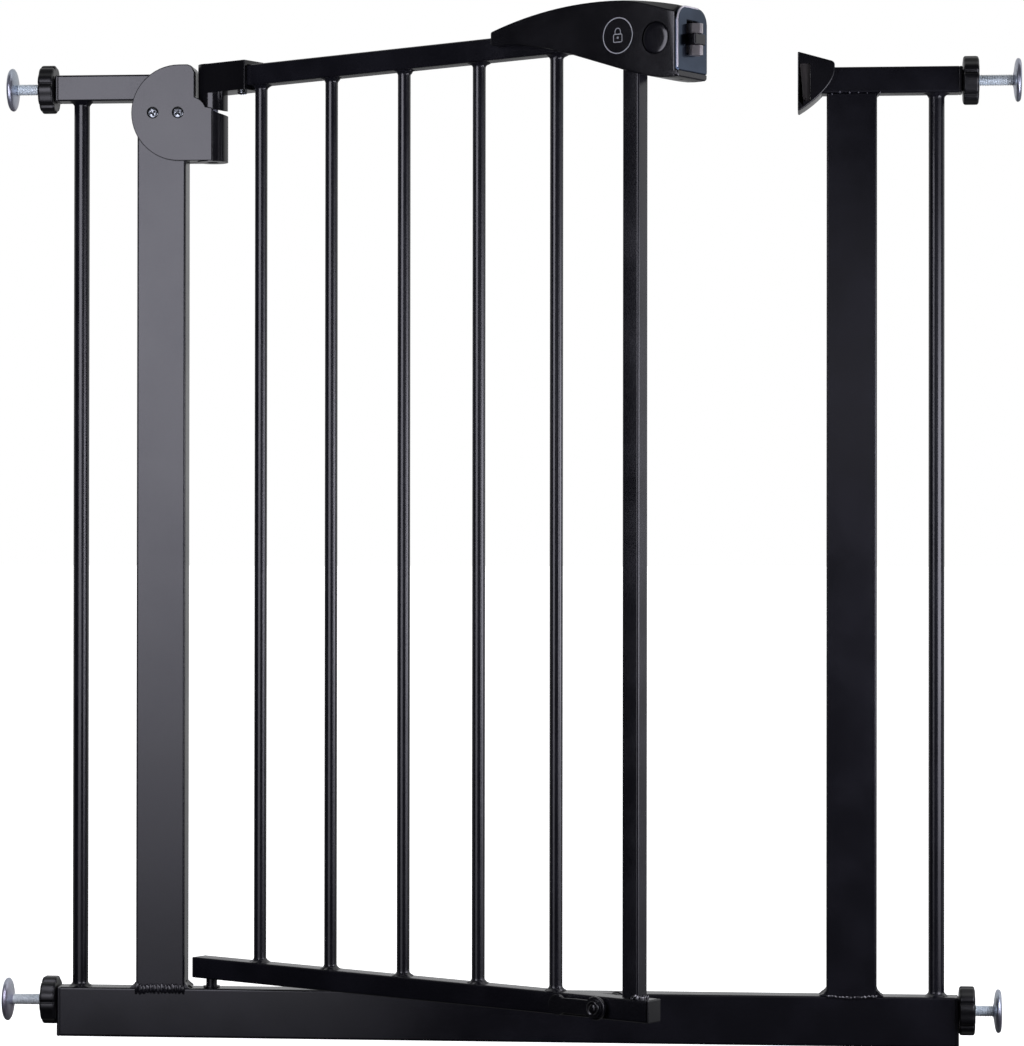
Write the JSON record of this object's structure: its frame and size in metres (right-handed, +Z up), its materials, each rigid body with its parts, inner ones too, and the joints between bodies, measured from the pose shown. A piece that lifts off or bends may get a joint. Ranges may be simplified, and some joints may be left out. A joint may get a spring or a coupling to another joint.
{
  "type": "safety baby gate",
  "caption": "Pressure-fit safety gate: steel frame held between walls by screw spindles, with a swinging barred door on a rising hinge and a push-button latch.",
  "frame": {"origin": "centre of the underside of the bottom rail, where the gate stands on the floor", "axes": "+X towards the latch side, +Y away from the side the door opens to, +Z up"},
  "size_m": [0.7794, 0.2698, 0.7606],
  "materials": {
    "powder_coat": "satin black powder coat with a fine texture",
    "housing_plastic": "moulded black plastic, semi-gloss",
    "button_plastic": "smooth black plastic",
    "nut_plastic": "moulded black plastic",
    "zinc_steel": "bright zinc plating with a faint blue and pink tint",
    "plate_chrome": "chrome plated pressed steel",
    "strike_steel": "dull grey-brown plated steel"
  },
  "bodies": {
    "frame": {"bottom_rail": "powder_coat", "left_post": "powder_coat", "right_post": "powder_coat", "left_top_rail": "powder_coat", "right_top_rail": "powder_coat", "left_outer_bar": "powder_coat", "right_outer_bar": "powder_coat", "hinge_cover_front": "housing_plastic", "hinge_cover_rear": "housing_plastic", "hinge_screw_1": "zinc_steel", "hinge_screw_2": "zinc_steel", "striker_housing": "housing_plastic", "strike_plate": "strike_steel", "striker_screw": "zinc_steel", "end_plug_top_left": "housing_plastic", "end_plug_top_right": "housing_plastic", "end_plug_bottom_left": "housing_plastic", "end_plug_bottom_right": "housing_plastic"},
    "pivot_bush": {"lower_pivot_bush": "housing_plastic"},
    "door": {"door_top_rail": "powder_coat", "door_bottom_rail": "powder_coat", "door_bar_1": "powder_coat", "door_bar_2": "powder_coat", "door_bar_3": "powder_coat", "door_bar_4": "powder_coat", "door_bar_5": "powder_coat", "door_end_post": "powder_coat", "door_hinge_cap": "housing_plastic", "cap_screw": "zinc_steel", "hinge_pin": "zinc_steel", "lower_pivot_pin": "powder_coat", "door_plug_left": "housing_plastic", "door_plug_right": "housing_plastic", "handle_front": "housing_plastic", "handle_rear": "housing_plastic", "handle_screw_1": "zinc_steel", "handle_screw_2": "zinc_steel", "latch_plate": "plate_chrome", "latch_spring": "zinc_steel"},
    "latch": {"latch_bolt": "zinc_steel", "latch_block": "housing_plastic"},
    "button_front": {"release_button_front": "button_plastic"},
    "button_rear": {"release_button_rear": "button_plastic"},
    "stop_lever": {"stop_lever_front": "housing_plastic", "stop_lever_rear": "housing_plastic", "stop_pin": "zinc_steel"},
    "nut_top_left": {"adjusting_nut_top_left": "nut_plastic"},
    "spindle_top_left": {"spindle_top_left": "zinc_steel"},
    "nut_top_right": {"adjusting_nut_top_right": "nut_plastic"},
    "spindle_top_right": {"spindle_top_right": "zinc_steel"},
    "nut_bottom_left": {"adjusting_nut_bottom_left": "nut_plastic"},
    "spindle_bottom_left": {"spindle_bottom_left": "zinc_steel"},
    "nut_bottom_right": {"adjusting_nut_bottom_right": "nut_plastic"},
    "spindle_bottom_right": {"spindle_bottom_right": "zinc_steel"}
  },
  "joints": [
    {"name": "door_swing", "type": "hinge", "parent": "frame", "child": "pivot_bush", "pos_m": [-0.226, 0, 0.04], "axis": [0, 0, 1], "range_deg": [-58, 32]},
    {"name": "door_lift", "type": "slide", "parent": "pivot_bush", "child": "door", "axis": [0, 0, 1], "range_m": [-0.0031, 0.0056]},
    {"name": "button_front_press", "type": "slide", "parent": "door", "child": "button_front", "axis": [0.5299, 0.848, 0], "range_m": [0, 0.003], "stiffness_N_per_m": 800, "springref_m": -0.003},
    {"name": "button_rear_press", "type": "slide", "parent": "door", "child": "button_rear", "axis": [-0.5299, -0.848, 0], "range_m": [0, 0.003]},
    {"name": "latch_slide", "type": "slide", "parent": "door", "child": "latch", "axis": [-0.848, 0.5299, 0], "range_m": [0, 0.0075], "deforming": ["latch_spring"]},
    {"name": "stop_lever_turn", "type": "hinge", "parent": "door", "child": "stop_lever", "pos_m": [0.08947, -0.19713, 0.05302], "axis": [-0.5299, -0.848, 0], "range_deg": [0, 90]},
    {"name": "nut_turn_top_left", "type": "hinge", "parent": "frame", "child": "nut_top_left", "pos_m": [-0.3542, 0, 0.731], "axis": [1, 0, 0], "range_deg": [-2900, 5780]},
    {"name": "spindle_travel_top_left", "type": "slide", "parent": "frame", "child": "spindle_top_left", "axis": [-1, 0, 0], "range_m": [-0.01, 0.02]},
    {"name": "nut_turn_top_right", "type": "hinge", "parent": "frame", "child": "nut_top_right", "pos_m": [0.3542, 0, 0.731], "axis": [-1, 0, 0], "range_deg": [-2900, 5780]},
    {"name": "spindle_travel_top_right", "type": "slide", "parent": "frame", "child": "spindle_top_right", "axis": [1, 0, 0], "range_m": [-0.01, 0.02]},
    {"name": "nut_turn_bottom_left", "type": "hinge", "parent": "frame", "child": "nut_bottom_left", "pos_m": [-0.3514, 0, 0.027], "axis": [1, 0, 0], "range_deg": [-2900, 5780]},
    {"name": "spindle_travel_bottom_left", "type": "slide", "parent": "frame", "child": "spindle_bottom_left", "axis": [-1, 0, 0], "range_m": [-0.01, 0.02]},
    {"name": "nut_turn_bottom_right", "type": "hinge", "parent": "frame", "child": "nut_bottom_right", "pos_m": [0.3514, 0, 0.027], "axis": [-1, 0, 0], "range_deg": [-2900, 5780]},
    {"name": "spindle_travel_bottom_right", "type": "slide", "parent": "frame", "child": "spindle_bottom_right", "axis": [1, 0, 0], "range_m": [-0.01, 0.02]}
  ],
  "couplings": [
    {"joint": "door_lift", "follows": "door_swing", "m_per_rad": -0.0054},
    {"joint": "button_rear_press", "follows": "button_front_press", "ratio": 1},
    {"joint": "latch_slide", "follows": "button_front_press", "ratio": 2.5},
    {"joint": "nut_turn_top_left", "follows": "spindle_travel_top_left", "rad_per_m": 5026.5},
    {"joint": "nut_turn_top_right", "follows": "spindle_travel_top_right", "rad_per_m": 5026.5},
    {"joint": "nut_turn_bottom_left", "follows": "spindle_travel_bottom_left", "rad_per_m": 5026.5},
    {"joint": "nut_turn_bottom_right", "follows": "spindle_travel_bottom_right", "rad_per_m": 5026.5}
  ]
}
